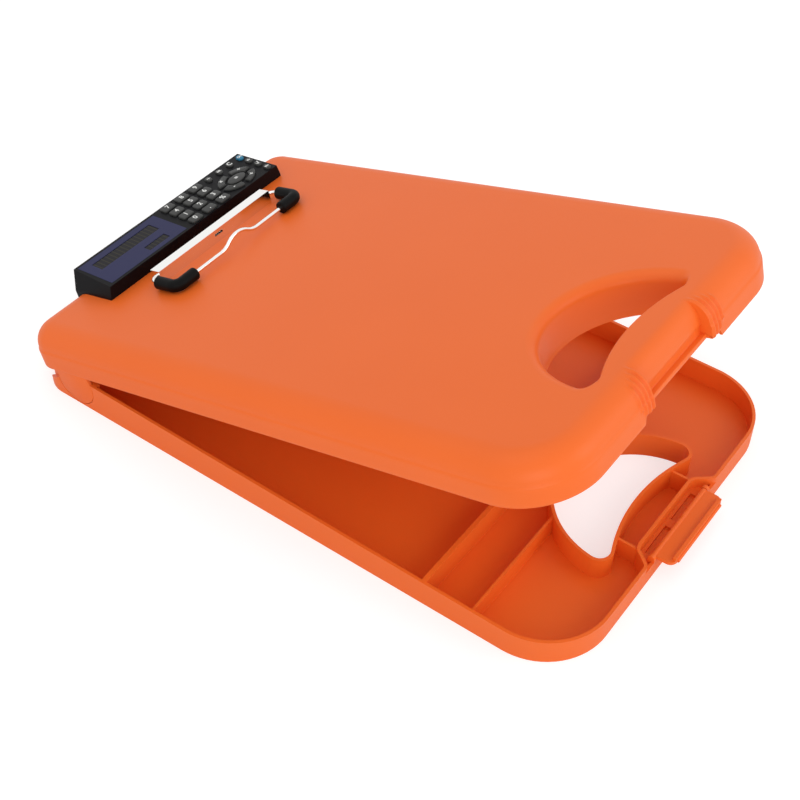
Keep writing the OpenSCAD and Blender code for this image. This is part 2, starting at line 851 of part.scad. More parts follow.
module clip_bail() {
    color(chrome)
        on_lid()
            translate([clip_x, bail_y, lid_h + bail_axis_h]) {
                for (s = [0, 1])
                    mirror([s, 0, 0])
                        bail_half();
                thumb_bend();
            }
}

// Coil that presses the bail down, seated round the wire inside the channel
module clip_spring() {
    color(chrome)
        on_lid()
            translate([clip_x, bail_y, lid_h + bail_axis_h])
                difference() {
                    union() {
                        x_rod(spring_r, -spring_half, spring_half);
                        slab([-spring_half, 0, -bail_axis_h + sheet_t],
                            [-spring_half + spring_leg, bail_back - sheet_t, -bail_axis_h + 2 * sheet_t]);
                        slab([-spring_half, 0, -bail_axis_h + sheet_t], [-spring_half + spring_leg, sheet_t, 0]);
                    }
                    x_rod(wire_r + clip_gap, -spring_half - 1, spring_half + 1);
                }
}

// Rubber sleeve over one corner of the bail
module boot(s) {
    color(rubber)
        on_lid()
            translate([clip_x, bail_y, lid_h + bail_axis_h])
                mirror([s > 0 ? 0 : 1, 0, 0])
                    difference() {
                        union() {
                            translate([leg_x, -bail_reach + bend_r, 0])
                                rotate([-90, 0, 0])
                                    cylinder(r = boot_r, h = boot_leg);
                            translate([leg_x - bend_r, -bail_reach + bend_r, 0])
                                rotate([0, 0, -90])
                                    rotate_extrude(angle = 90)
                                        translate([bend_r, 0])
                                            circle(r = boot_r);
                            translate([0, -bail_reach, 0])
                                x_rod(boot_r, leg_x - bend_r - boot_l, leg_x - bend_r);
                        }
                        bail_half();
                    }
}

module boot_left() {
    boot(-1);
}

module boot_right() {
    boot(1);
}

// Solid outline of the whole calculator, drawn inward by g, with slanted ends
module calc_block(g) {
    intersection() {
        translate([calc_x0 - 1, 0, 0])
            rotate([90, 0, 90])
                linear_extrude(height = calc_l + 2)
                    calc_profile(g);
        translate([0, calc_y - 1, 0])
            rotate([90, 0, 0])
                translate([0, 0, -calc_d - 2])
                    linear_extrude(height = calc_d + 2)
                        polygon([
                            [calc_x0 + g, skirt_h], [calc_x0 + g, lid_h + 1],
                            [calc_x0 + end_slant + g, lid_h + calc_rear_h + 1],
                            [calc_x1 - end_slant / 2 - g, lid_h + calc_rear_h + 1],
                            [calc_x1 - g, lid_h + calc_split_h],
                            [calc_x1 - g, skirt_h]
                        ]);
    }
}

// Profile with the underside following the lid's rear shoulder
module calc_profile(g) {
    difference() {
        polygon([
            [calc_y + g, lid_h + g],
            [calc_y + g, lid_h + calc_front_h + g * (tan(calc_slope) - 1 / cos(calc_slope))],
            [calc_y + calc_d - g, lid_h + calc_rear_h - g * (tan(calc_slope) + 1 / cos(calc_slope))],
            [calc_y + calc_d - g, skirt_h + 2 + g],
            [box_l - shoulder_run - 6, skirt_h + 2 + g],
            [box_l - shoulder_run - 6, lid_h + g]
        ]);
        translate([box_l, 0])
            polygon(concat(shoulder_line(rim_gap + g), [[-shoulder_run - 8, lid_h + rim_gap / 6 + g],
                [-shoulder_run - 8, 0]]));
    }
}

// Half space below the joint between the case halves
module below_split() {
    slab([calc_x0 - 5, calc_y - 5, 0], [calc_x1 + 5, calc_y + calc_d + 5, lid_h + calc_split_h]);
}

// Inside of the case, above the lower half's floor
module calc_cavity() {
    intersection() {
        calc_block(case_t);
        slab([calc_x0, calc_y, lid_h + case_t], [calc_x1, calc_y + calc_d, lid_h + 2 * calc_rear_h]);
    }
}

module calc_case_bottom() {
    color(black_case)
        on_lid()
            difference() {
                intersection() {
                    calc_block(0);
                    below_split();
                }
                calc_cavity();
                screw_places(screw_r, -screw_l, 0);
            }
}

// Columns of the four case screws
module screw_places(r, z0, z1) {
    for (x = [calc_x0 + end_slant + case_t + post_r, post_x1])
        for (y = [calc_y + screw_front, calc_y + calc_d - screw_rear])
            translate([x, y, lid_h + calc_split_h + z0])
                cylinder(r = r, h = z1 - z0 + eps);
}

module calc_case_top() {
    color(black_case) {
        difference() {
            on_lid()
                difference() {
                    union() {
                        difference() {
                            calc_block(0);
                            calc_cavity();
                        }
                        intersection() {
                            calc_block(case_t / 2);
                            screw_places(post_r, 0, calc_rear_h);
                        }
                    }
                    below_split();
                    screw_places(screw_r, -1, screw_l - 1);
                }
            on_face() {
                slab([face_x - key_gap / 4, face_v0 - key_gap / 4, -face_t],
                    [face_x + face_l + key_gap / 4, face_v1 + key_gap / 4, 1]);
                slab([lcd_x + window_lip, lcd_v + window_lip, -case_t - 1],
                    [lcd_x + lcd_l - window_lip, lcd_v + lcd_d - window_lip, 1]);
                slab([solar_x + window_lip, solar_v + window_lip, -case_t - 1],
                    [solar_x + solar_l - window_lip, solar_v + solar_d - window_lip, 1]);
                for (d = DIGITS)
                    digit_shape(d, key_gap, -case_t - 1, 1);
                for (o = OVALS)
                    oval_shape(o, key_gap, -case_t - 1, 1);
                for (r = RING)
                    ring_shape(r[1], key_gap, -case_t - 1, 1);
                core_shape(key_gap, -case_t - 1, 1);
            }
        }
    }
}

// Slate face plate with openings for display and solar cell
module calc_face_plate() {
    color(slate)
        on_face()
            difference() {
                slab([face_x, face_v0, -face_t], [face_x + face_l, face_v1, 0.1]);
                slab([lcd_x, lcd_v, -2], [lcd_x + lcd_l, lcd_v + lcd_d, 1]);
                slab([solar_x, solar_v, -2], [solar_x + solar_l, solar_v + solar_d, 1]);
            }
}

// Clear window inserts, flush in the face plate
module calc_window() {
    color("#c8d0d8")
        on_face() {
            slab([lcd_x + window_play, lcd_v + window_play, -face_t],
                [lcd_x + lcd_l - window_play, lcd_v + lcd_d - window_play, -2 * window_play]);
            slab([solar_x + window_play, solar_v + window_play, -face_t],
                [solar_x + solar_l - window_play, solar_v + solar_d - window_play, -2 * window_play]);
        }
}

module calc_display() {
    color("#6d6f5c")
        on_face()
            slab([lcd_x - window_lip, lcd_v - window_lip, -case_t - display_t],
                [lcd_x + lcd_l + window_lip, lcd_v + lcd_d + window_lip, -case_t]);
}

module calc_solar_cell() {
    color("#2a1c22")
        on_face()
            slab([solar_x - window_lip, solar_v - window_lip, -case_t - solar_t],
                [solar_x + solar_l + window_lip, solar_v + solar_d + window_lip, -case_t]);
}

// Circuit board under the key mat, carried by its rear and front edges in the case
module calc_board() {
    color("#2f6b3a")
        intersection() {
            on_face()
                slab([calc_x0 + end_slant + board_in, board_in, -board_top - board_t],
                    [calc_x1 - end_slant, face_len - board_in, -board_top]);
            on_lid()
                difference() {
                    calc_block(case_t + layer_gap);
                    screw_places(post_r + key_gap, -screw_l, calc_rear_h);
                }
        }
}

// Rubber mat that springs the keys back
module calc_key_mat() {
    color("#9a9a94")
        intersection() {
            on_face()
                slab([digit_x - digit_w / 2 - board_in, board_in, -board_top],
                    [oval_x + oval_w / 2 + board_in / 2, face_len - board_in, -mat_top]);
            on_lid()
                difference() {
                    calc_block(case_t + layer_gap);
                    screw_places(post_r + key_gap, -screw_l, calc_rear_h);
                }
        }
}

module calc_battery() {
    color("#b9bcc0")
        on_face()
            translate([battery_x, face_len / 2, -board_top - board_t - battery_t])
                cylinder(r = battery_r, h = battery_t);
}

module calc_screws() {
    color("#8d8f92")
        on_lid()
            screw_places(screw_r - layer_gap, -screw_l / 2, screw_l - 1 - layer_gap);
}

// Digit key body, grown by g and its width by side, between heights z0 and z1
module digit_shape(d, g, z0, z1, side = 0) {
    x = digit_x + d[1] * digit_pitch_x;
    y = row_y + d[2] * digit_pitch_y;
    translate([x, y, z0])
        linear_extrude(height = z1 - z0)
            round_rect(digit_w / 2 + g + side, -digit_d / 2 - g, digit_d / 2 + g, key_corner_r + g, key_corner_r + g);
}

module oval_shape(o, g, z0, z1, side = 0) {
    x = oval_x + o[1] * oval_pitch;
    y = row_y + o[2] * digit_pitch_y - 0.6;
    translate([x, y, z0])
        linear_extrude(height = z1 - z0)
            round_rect(oval_w / 2 + g + side, -oval_d / 2 - g, oval_d / 2 + g, oval_w / 2 + g - eps, oval_w / 2 + g - eps);
}

// One quarter of the key ring, around parameter angle a
module ring_shape(a, g, z0, z1) {
    half = ring_half + 2 * g;
    translate([ring_x, ring_y, z0])
        linear_extrude(height = z1 - z0)
            polygon(concat(
                oval_arc(ring_a + g, ring_b + g, a - half, a + half, 12),
                oval_arc(core_a + ring_slot - g, core_b + ring_slot - g, a + half, a - half, 12)
            ));
}

module core_shape(g, z0, z1) {
    translate([ring_x, ring_y, z0])
        linear_extrude(height = z1 - z0)
            polygon(oval_arc(core_a + g, core_b + g, 0, 350, 35));
}

module digit_key(d) {
    color(key_grey)
        on_face() {
            digit_shape(d, 0, -key_floor, key_h);
            digit_shape(d, 0, -key_floor, -case_t - layer_gap, key_rim);
        }
}

module oval_key(o) {
    color(o[0] == "key_on" ? "#2f7da0" : key_grey)
        on_face() {
            oval_shape(o, 0, -key_floor, key_h);
            oval_shape(o, 0, -key_floor, -case_t - layer_gap, key_rim);
        }
}

module ring_key(a) {
    color(key_grey)
        on_face() {
            ring_shape(a, 0, -key_floor, key_h);
            ring_shape(a, key_rim, -key_floor, -case_t - layer_gap);
        }
}

module key_equals() {
    color(key_grey)
        on_face() {
            core_shape(0, -key_floor, key_h);
            core_shape(key_rim, -key_floor, -case_t - layer_gap);
        }
}

tray();
lid();
latch();
clip_channel();
clip_rivets();
clip_bail();
clip_spring();
boot_left();
boot_right();
calc_case_top();
calc_case_bottom();
calc_face_plate();
calc_window();
calc_display();
calc_solar_cell();
calc_board();
calc_key_mat();
calc_battery();
calc_screws();
for (d = DIGITS)
    digit_key(d);
for (o = OVALS)
    oval_key(o);
for (r = RING)
    ring_key(r[1]);
key_equals();
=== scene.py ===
import math

import bmesh
import bpy
import numpy as np
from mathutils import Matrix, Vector


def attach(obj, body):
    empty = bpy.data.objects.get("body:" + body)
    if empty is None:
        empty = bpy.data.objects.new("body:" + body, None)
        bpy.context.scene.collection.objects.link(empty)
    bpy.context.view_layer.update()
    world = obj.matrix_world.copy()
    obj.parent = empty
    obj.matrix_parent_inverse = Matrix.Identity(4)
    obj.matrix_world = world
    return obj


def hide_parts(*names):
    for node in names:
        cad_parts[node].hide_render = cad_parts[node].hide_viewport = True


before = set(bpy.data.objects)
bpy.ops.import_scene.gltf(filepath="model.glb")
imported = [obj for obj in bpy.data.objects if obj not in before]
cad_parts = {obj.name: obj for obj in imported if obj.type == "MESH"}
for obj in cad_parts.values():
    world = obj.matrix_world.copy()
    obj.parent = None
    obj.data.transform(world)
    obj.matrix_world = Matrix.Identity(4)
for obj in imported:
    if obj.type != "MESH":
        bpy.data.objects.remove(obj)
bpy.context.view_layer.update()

# Tray: the lower half of the box, injection-moulded in one shot from orange polypropylene.
# Its compartment walls, hand hole and latch recess come out of the same mould, which is
# spark-eroded to a fine satin, and every edge has the small radius that the mould needs.


def tint(code):
    """Linear red, green, blue and alpha of an sRGB hex colour, by the standard's own curve."""
    shares = [int(code[i:i + 2], 16) / 255 for i in (1, 3, 5)]
    return [s / 12.92 if s < 0.04045 else ((s + 0.055) / 1.055) ** 2.4 for s in shares] + [1.0]


def add(tree, kind, inputs=None, **settings):
    """One shader node with its settings, each input either a value or a link from a socket."""
    made = tree.nodes.new("ShaderNode" + kind)
    for name, value in settings.items():
        setattr(made, name, value)
    for name, value in (inputs or {}).items():
        if isinstance(value, bpy.types.NodeSocket):
            tree.links.new(value, made.inputs[name])
        else:
            made.inputs[name].default_value = value
    return made


# Mix has sockets for each type of value, and these are the numbers of those for colours
FIRST_COLOUR, SECOND_COLOUR, MIXED_COLOUR = 6, 7, 2


def moulded(name, colour, shade, roughness, grain_mm, grain_depth_mm, specular=0.35):
    """Moulded plastic: the tone drifts from shade to colour over some centimetres, and the
    mould's eroded grain is a fine bump that also makes the gloss uneven by a twentieth."""
    drift_mm, uneven = 70, 0.05
    made = bpy.data.materials.new(name)
    made.use_nodes = True
    tree = made.node_tree
    tree.nodes.clear()
    place = add(tree, "TexCoord").outputs["Object"]
    drift = add(tree, "TexNoise", {"Vector": place, "Scale": 1000 / drift_mm, "Detail": 2.0})
    tone = add(tree, "Mix", {0: drift.outputs["Fac"], FIRST_COLOUR: tint(shade),
                             SECOND_COLOUR: tint(colour)}, data_type="RGBA")
    grain = add(tree, "TexNoise", {"Vector": place, "Scale": 1000 / grain_mm, "Detail": 1.5})
    # the noise mostly lies between 0.3 and 0.7
    rough = add(tree, "MapRange", {"Value": grain.outputs["Fac"], "From Min": 0.3, "From Max": 0.7,
                                   "To Min": roughness - uneven, "To Max": roughness + uneven})
    bump = add(tree, "Bump", {"Height": grain.outputs["Fac"], "Distance": grain_depth_mm / 1000,
                              "Strength": 0.6})
    skin = add(tree, "BsdfPrincipled", {"Base Color": tone.outputs[MIXED_COLOUR],
                                        "Roughness": rough.outputs["Result"], "IOR": 1.49,
                                        "Specular IOR Level": specular,
                                        "Normal": bump.outputs["Normal"]})
    add(tree, "OutputMaterial", {"Surface": skin.outputs["BSDF"]})
    return made


def softened(node, name, body, material, radius_mm):
    """Copy of a CAD node: doubles are merged and coplanar faces joined, and a bevel rounds each
    edge over 35 degrees to the radius, with normals weighted by the faces' areas."""
    merge_m, flat_deg, edge_deg = 2e-6, 0.3, 35
    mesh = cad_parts[node].data.copy()
    mesh.name = name
    shape = bmesh.new()
    shape.from_mesh(mesh)
    bmesh.ops.remove_doubles(shape, verts=shape.verts, dist=merge_m)
    bmesh.ops.dissolve_limit(shape, angle_limit=math.radians(flat_deg), verts=shape.verts,
                             edges=shape.edges)
    shape.to_mesh(mesh)
    shape.free()
    if "custom_normal" in mesh.attributes:
        mesh.attributes.remove(mesh.attributes["custom_normal"])
    mesh.shade_smooth()
    mesh.materials.clear()
    mesh.materials.append(material)
    piece = bpy.data.objects.new(name, mesh)
    bpy.context.scene.collection.objects.link(piece)
    edge = piece.modifiers.new("edge", "BEVEL")
    edge.width = radius_mm / 1000
    edge.segments = 2
    edge.limit_method = "ANGLE"
    edge.angle_limit = math.radians(edge_deg)
    edge.use_clamp_overlap = True
    even = piece.modifiers.new("even", "WEIGHTED_NORMAL")
    even.keep_sharp = True
    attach(piece, body)
    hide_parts(node)


# Eroded polypropylene is satin: a soft wide sheen, and a warm orange that is never quite even
polypropylene = moulded("polypropylene_orange", "#f06c25", "#ec6821", roughness=0.42,
                        grain_mm=0.5, grain_depth_mm=0.012, specular=0.3)
softened("tray", "tray_moulding", "base", polypropylene, radius_mm=0.5)

# Latch: a small flap of the same polypropylene that turns on two moulded pins in the recess.
# Its bar hooks over the lip of the lid, and its outer edge is rolled for the fingernail.
softened("latch", "latch_moulding", "latch", polypropylene, radius_mm=0.4)

# Lid: the hollow writing lid, moulded from the same polypropylene with a 2 mm wall. Its top is
# flat, its shoulder round, and the mould line of the skirt shows as a small soft step all round.
# It turns on two pins of its own, on round lugs at the rear of its sides.

# the box's length, the height of the tray's rim in front and its rise to the rear, and the
# hinge axis from the front and from the table; the lid stands open by the angle in the photo
box_length, rim_front, rim_rise = 406.4, 17.0, 6.5
hinge_y, hinge_z = 368.0, 16.5
lid_slope, lid_shown = math.atan(rim_rise / box_length), math.radians(-16.65)
# half the lid's width and its wall, half the widths of the notch and of the catch in it, and
# the grip ribs beside the catch: the first one's place, their pitch, half width and height
half_width, wall = 127.0, 2.0
notch_half, catch_half = 43.0, 32.35
rib_first, rib_pitch, rib_half, rib_height = 33.8, 3.6, 1.35, 1.3


def on_lid(points):
    """Metres in the frame of millimetres on the lid, whose plane is its lower edge: raised by the
    rim's slope, set on the rim, and turned open about the hinge."""
    slope, shown = lid_slope, lid_shown
    x, y, z = np.moveaxis(np.asarray(points, float), -1, 0)
    y, z = y * math.cos(slope) - z * math.sin(slope), y * math.sin(slope) + z * math.cos(slope)
    y, z = y - hinge_y, z + rim_front - hinge_z
    y, z = y * math.cos(shown) - z * math.sin(shown), y * math.sin(shown) + z * math.cos(shown)
    return np.stack([x, y + hinge_y - box_length / 2, z + hinge_z], axis=-1) / 1000


def ease(share):
    """Share from 0 to 1 that starts and ends level, 3 s squared less 2 s cubed."""
    share = np.clip(share, 0, 1)
    return share * share * (3 - 2 * share)


def turn(centre, radius, first, last, count):
    """Points on an arc, and the arc's outward normals, between two angles in degrees."""
    angle = np.radians(np.linspace(first, last, count))
    out = np.stack([np.cos(angle), np.sin(angle)], axis=-1)
    return np.asarray(centre) + radius * out, out


def straight(first, last, out, count):
    """Points from first to last, and their one normal."""
    share = np.linspace(0, 1, count)[:, None]
    return (np.asarray(first) * (1 - share) + np.asarray(last) * share,
            np.full((count, 2), out, float))


def measured(parts):
    """One line from parts of points and normals, with each point's distance along it."""
    spots = np.concatenate([part[0] for part in parts])
    outs = np.concatenate([part[1] for part in parts])
    steps = np.linalg.norm(np.diff(spots, axis=0), axis=1)
    return spots, outs, np.concatenate([[0], np.cumsum(steps)])


def woven(shape, close_rows):
    """Quads between neighbouring rows of a grid whose columns close, as numbers of its points."""
    count, across = shape
    down = np.arange(count if close_rows else count - 1)[:, None]
    side = np.arange(across)[None, :]
    near, far = down * across, (down + 1) % count * across
    return np.stack([near + side, near + (side + 1) % across, far + (side + 1) % across,
                     far + side], axis=-1).reshape(-1, 4)


def pressed(outline, profile, place):
    """Closed body over a plane outline: each profile row draws the outline in by an inset, at a
    height, and spreads it sideways; flat faces close both ends, and place sets it in the frame."""
    outline = np.asarray(outline)
    along = np.roll(outline, -1, axis=0) - np.roll(outline, 1, axis=0)
    along /= np.linalg.norm(along, axis=1)[:, None]
    inward = np.stack([-along[:, 1], along[:, 0]], axis=-1)
    middle = outline.mean(axis=0)
    rows = []
    for inset, height, spread in profile:
        flat = outline + inward * inset
        flat[:, 0] += np.sign(flat[:, 0] - middle[0]) * spread
        rows.append(np.column_stack([flat, np.full(len(flat), height)]))
    grid = np.array(rows)
    count, across = grid.shape[:2]
    caps = [list(range(across))[::-1], list(range((count - 1) * across, count * across))]
    return place(grid.reshape(-1, 3)), woven((count, across), False).tolist() + caps


def build(name, shells, material, body, nodes, crease=35):
    """One object from closed shells, each a pair of points in metres and faces, shaded smooth
    up to the crease angle; a shell whose signed volume is negative is turned outwards."""
    points, faces, start = [], [], 0
    for spots, around in shells:
        spots = np.asarray(spots).reshape(-1, 3)
        quads = [f for f in around if len(f) == 4]
        a, b, c, d = (spots[np.array(quads)[:, k]] for k in range(4))
        volume = np.einsum("ij,ij->", a, np.cross(b, c)) + np.einsum("ij,ij->", a, np.cross(c, d))
        # a face with more corners counts as a fan of triangles from its first one
        for extra in around:
            if len(extra) != 4:
                fan = spots[np.array(extra)]
                volume += np.einsum("ij,ij->", np.broadcast_to(fan[0], fan[1:-1].shape),
                                    np.cross(fan[1:-1], fan[2:]))
        faces += [[start + int(k) for k in (f if volume > 0 else f[::-1])] for f in around]
        points.append(spots)
        start += len(spots)
    mesh = bpy.data.meshes.new(name)
    mesh.from_pydata(np.concatenate(points).tolist(), [], faces)
    mesh.validate()
    mesh.shade_smooth()
    mesh.set_sharp_from_angle(angle=math.radians(crease))
    mesh.materials.append(material)
    piece = bpy.data.objects.new(name, mesh)
    bpy.context.scene.collection.objects.link(piece)
    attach(piece, body)
    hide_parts(*nodes)


def lid_columns():
    """Columns of the lid's grid, from the front middle round one side and mirrored to the other:
    an outline point, its normal, and a point and normal of the hand hole. Both lines are measured
    along their length from the front, and pairs of places join them, so that no columns cross."""
    half, length, front, rear = half_width, box_length, 42.0, 18.0
    line, normal, along = measured([
        straight((0, 0), (half - front, 0), (0, -1), 1500),
        turn((half - front, front), front, -90, 0, 600),
        straight((half, front), (half, length - rear), (1, 0), 1500),
        turn((half - rear, length - rear), rear, 0, 90, 600),
        straight((half - rear, length), (0, length), (0, 1), 1500)])
    # kidney-shaped hole: the bowed edge in front, a small arc at its end, and the rear arc; the
    # small arc's middle lies end_r inside the rear circle and end_r outside the bow's circle
    hole_y, hole_r, grip_y, grip_r, end_r = 25.0, 54.0, -89.0, 120.0, 7.0
    span, less, more = hole_y - grip_y, hole_r - end_r, grip_r + end_r
    rise = (more ** 2 - less ** 2 + span ** 2) / (2 * span)
    end = np.array([math.sqrt(more ** 2 - rise ** 2), grip_y + rise])
    rear_a = math.degrees(math.atan2(end[1] - hole_y, end[0]))
    front_a = math.degrees(math.atan2(end[1] - grip_y, end[0]))
    bowed = turn((0, grip_y), grip_r, 90, front_a, 900)
    hole, facing, inner = measured([(bowed[0], -bowed[1]),
                                    turn(end, end_r, front_a - 180, rear_a, 500),
                                    turn((0, hole_y), hole_r, rear_a, 90, 1500)])
    # distances along the outline and along the hole that face each other
    paired = np.array([(0, 0), (48, 45.3), (85, 53.5), (118, 57.7), (184, 69), (309, 97.3),
                       (511, 119), (along[-1], inner[-1])])

    def opposite(places):
        """The hole's point and normal that belong to distances along the outline."""
        spot = np.interp(places, *paired.T)
        values = np.stack([np.interp(spot, inner, part) for part in (*hole.T, *facing.T)], axis=-1)
        return values[:, :2], values[:, 2:] / np.linalg.norm(values[:, 2:], axis=1)[:, None]

    # columns stand closer where either line turns: one for each 7 mm or 0.07 radians of the
    # outline and each 3 mm or 0.14 radians of the hole, shared out over the count
    column_count = 175
    near, turned = opposite(along)
    weight = sum(np.linalg.norm(np.diff(part, axis=0), axis=1) / gap
                 for part, gap in ((line, 7), (normal, 0.07), (near, 3), (turned, 0.14)))
    total = np.concatenate([[0], np.cumsum(weight)])
    share = np.linspace(0, total[-1], column_count)
    places = along[np.unique(np.searchsorted(total, share))]
    # the catch, the notch and the grip ribs of the front edge need columns of their own
    rib = np.array([-rib_half, -1.1, -0.85, -0.6, -0.3, 0, 0.3, 0.6, 0.85, 1.1, rib_half])
    marks = np.concatenate([[31.4, 32.0, catch_half, notch_half],
                            *(rib_first + rib_pitch * k + rib for k in range(4))])
    nearest = 0.45
    clear = np.abs(places[:, None] - marks[None, :]).min(axis=1) > nearest
    places = np.sort(np.concatenate([places[clear], marks]))
    values = [np.interp(places, along, part) for part in (*line.T, *normal.T)]
    out = np.stack(values[2:], axis=-1)
    sides = [np.stack(values[:2], axis=-1), out / np.linalg.norm(out, axis=1)[:, None],
             *opposite(places)]
    return [np.concatenate([part, part[1:-1][::-1] * (-1, 1)]) for part in sides]


def lid_shell():
    """Grid of the lid: columns round the outline, rows up the hand hole, over the top, down the
    shoulder and skirt, and back inside. A row lies at a distance in from the outline, or out
    from the hole, and at a height; round the catch it blends to a second distance and height."""
    # heights of the top, the shoulder's lower end, the lower edge and the notch's edge
    deep, skirt, low, notch = 27.5, 13.5, 0.3, 4.6
    # how far in the flat top starts, the row that keeps it flat, how far in the soft step lies,
    # the height where it has run out, and the lengths of the catch's and the notch's ends
    run, margin, step, step_end, catch_end, notch_end = 16.0, 0.8, 0.8, 11.6, 0.35, 2.0
    spots, outs, hole, facing = lid_columns()
    across = len(spots)
    side, front = np.abs(spots[:, 0]), spots[:, 1] < 1e-6
    at_catch = front * np.clip((catch_half - side) / catch_end, 0, 1)
    lower = low + (notch - low) * front * np.clip((notch_half - side) / notch_end, 0, 1)
    # shoulder arc, soft step, skirt, lower edge and inner side, away from the catch
    t = np.radians(np.linspace(90, 0, 15))
    s = np.radians(np.linspace(0, 90, 8))
    rows = [(run + margin, deep + 0 * lower)]
    rows += [(d, z + 0 * lower) for d, z in zip(step + (run - step) * (1 - np.cos(t)),
                                                skirt + (deep - skirt) * np.sin(t))]
    rows += [(d, z + 0 * lower) for d, z in ((0.66, 13.15), (0.36, 12.7), (0.1, 12.2),
                                             (0, step_end))]
    rows += [(0, lower + (step_end - lower) * f) for f in (0.8, 0.6, 0.4, 0.2)]
    rows += [(d, lower + z) for d, z in ((0, 0.4), (0.12, 0.12), (0.4, 0), (1.6, 0), (1.88, 0.12),
                                         (wall, 0.4))]
    rows += [(wall, lower + (skirt - lower) * f) for f in (0.3, 0.6, 0.98)]
    rows += [(d, z + 0 * lower) for d, z in zip(wall + (run - wall) * (1 - np.cos(s)),
                                                skirt + (deep - wall - skirt) * np.sin(s))]
    rows += [(run + margin, deep - wall + 0 * lower)]
    far = np.array([[d] * across for d, _ in rows], float)
    high = np.array([z for _, z in rows])
    # the same rows at the catch: set-back shoulder, groove, lip, and inner side
    back, top, inner_back, inner_top = 6.4, 13.4, 8.4, 15.0
    catch = [(run + margin, deep)]
    catch += list(zip(back + (run - back) * (1 - np.cos(t)), top + (deep - top) * np.sin(t)))
    catch += [(6.45, 13.2), (6.6, 13.07), (6.8, 13.0), (7.0, 12.9), (7.16, 12.6), (7.2, 10.3),
              (7.2, 8.3), (6.8, 7.6), (4.2, 7.6), (3.75, 7.48), (3.6, 7.1), (3.6, 5.1),
              (3.75, 4.72), (4.2, 4.6), (9.0, 4.6), (9.2, 4.9), (9.2, 14.9)]
    catch += list(zip(inner_back + (run - inner_back) * (1 - np.cos(s)),
                      inner_top + (deep - wall - inner_top) * np.sin(s)))
    catch = np.array(catch + [(run + margin, deep - wall)])
    far += (catch[:, :1] - far) * at_catch
    high += (catch[:, 1:] - high) * at_catch
    # grip ribs: raised along the outer face, each one shorter than the last, with faded ends;
    # lean is the outer face's slope in the shoulder's rows, and outer marks the outer face. A
    # rib starts at a height and reaches some way in over the shoulder, a step less each time
    rib_reach, rib_less, flank, foot = 14.5, 2.4, 1.1, 1.2
    lean = np.zeros(len(far))
    lean[1:len(t) + 1] = t
    outer = np.zeros(len(far))
    outer[1:25] = 1
    for k, start in enumerate((5.0, 5.0, 6.1, 10.1)):
        ridge = ease((rib_half - np.abs(side - rib_first - rib_pitch * k)) / flank) * front
        reach = rib_reach - rib_less * k
        fade = ease((reach - far) / (0.45 * reach)) * ease((high - start + foot / 2) / foot)
        lift = rib_height * ridge * fade * outer[:, None] * (at_catch < 0.5)
        far -= lift * np.cos(lean)[:, None]
        high += lift * np.sin(lean)[:, None]
    outside = spots - outs * far[..., None]
    # the hole: its wall, the soft edge on top, which is widest behind, and the collar inside
    soft_front, soft_more = 1.5, 5.0
    bearing = np.degrees(np.arctan2(facing[:, 1], np.abs(facing[:, 0])))
    soft = soft_front + soft_more * ease((bearing + 75) / 80)
    inner = np.maximum(soft - wall, 0.4)
    a = np.radians(np.linspace(0, 90, 9))
    b = np.radians(np.linspace(90, 0, 5))
    flat = 0 * soft
    near = [(d, z + flat) for d, z in ((0.4, low), (0.12, low + 0.12), (0.0, low + 0.4),
                                       (0.0, 8.0), (0.0, 15.0))]
    near += [(soft * (1 - math.cos(k)), deep - soft * (1 - math.sin(k))) for k in a]
    near += [(soft + margin, deep + flat)]
    rest = [(wall + inner + margin, deep - wall + flat)]
    rest += [(wall + inner * (1 - math.cos(k)), deep - wall - inner * (1 - math.sin(k)))
             for k in b]
    rest += [(d, z + flat) for d, z in ((wall, 15.0), (wall, 8.0), (wall, low + 0.4),
                                        (1.88, low + 0.12), (1.6, low))]
    inside = [np.column_stack([hole + facing * (d + flat)[:, None], z]) for d, z in near + rest]
    rim = np.concatenate([outside, high[..., None]], axis=-1)
    grid = np.concatenate([inside[:len(near)], rim, inside[len(near):]])
    return on_lid(grid.reshape(-1, 3)), woven(grid.shape[:2], True).tolist()


def hinge_lug(side):
    """Round lug on one side: the disc about the hinge axis, cut level inside the skirt's edge,
    and the moulded pin on its inner face. Both are pressed sideways out of their outlines."""
    lug_r, pin_r, cut_height = 15.4, 3.0, 1.0
    # the hinge axis as the lid's own plane has it, so turned back by the rim's slope
    axis_y, axis_z = hinge_y * math.cos(lid_slope) - 0.008, -6.384
    tilt = math.degrees(math.asin((cut_height - axis_z) / lug_r))
    disc = turn((0, 0), lug_r, 180 - tilt, 360 + tilt, 60)[0]
    ring = turn((0, 0), pin_r, 0, 360, 41)[0][:-1]

    def upright(points):
        """The outline's plane is the lid's side, and its height runs outwards."""
        points = np.asarray(points)
        return on_lid(np.column_stack([side * points[:, 2], points[:, 0] + axis_y,
                                       points[:, 1] + axis_z]))

    # the disc's face stands 0.01 mm proud of the skirt, so that the two don't lie in one plane
    plate = [(0.4, 124.6, 0), (0.1, 124.7, 0), (0, 125.0, 0), (0, 126.7, 0), (0.09, 126.92, 0),
             (0.3, half_width + 0.01, 0)]
    pin = [(0.6, 119.6, 0), (0.15, 119.8, 0), (0, 120.2, 0), (0, 125.5, 0)]
    return pressed(disc, plate, upright), pressed(ring, pin, upright)


build("lid_moulding", [lid_shell(), *hinge_lug(1), *hinge_lug(-1)], polypropylene, "lid",
      ["lid"], crease=40)

# Clip channel and rivets: spring-steel strip, folded to a closed channel whose end walls carry
# the wire, and held down by two rivets through its base. It is nickel-plated after folding.


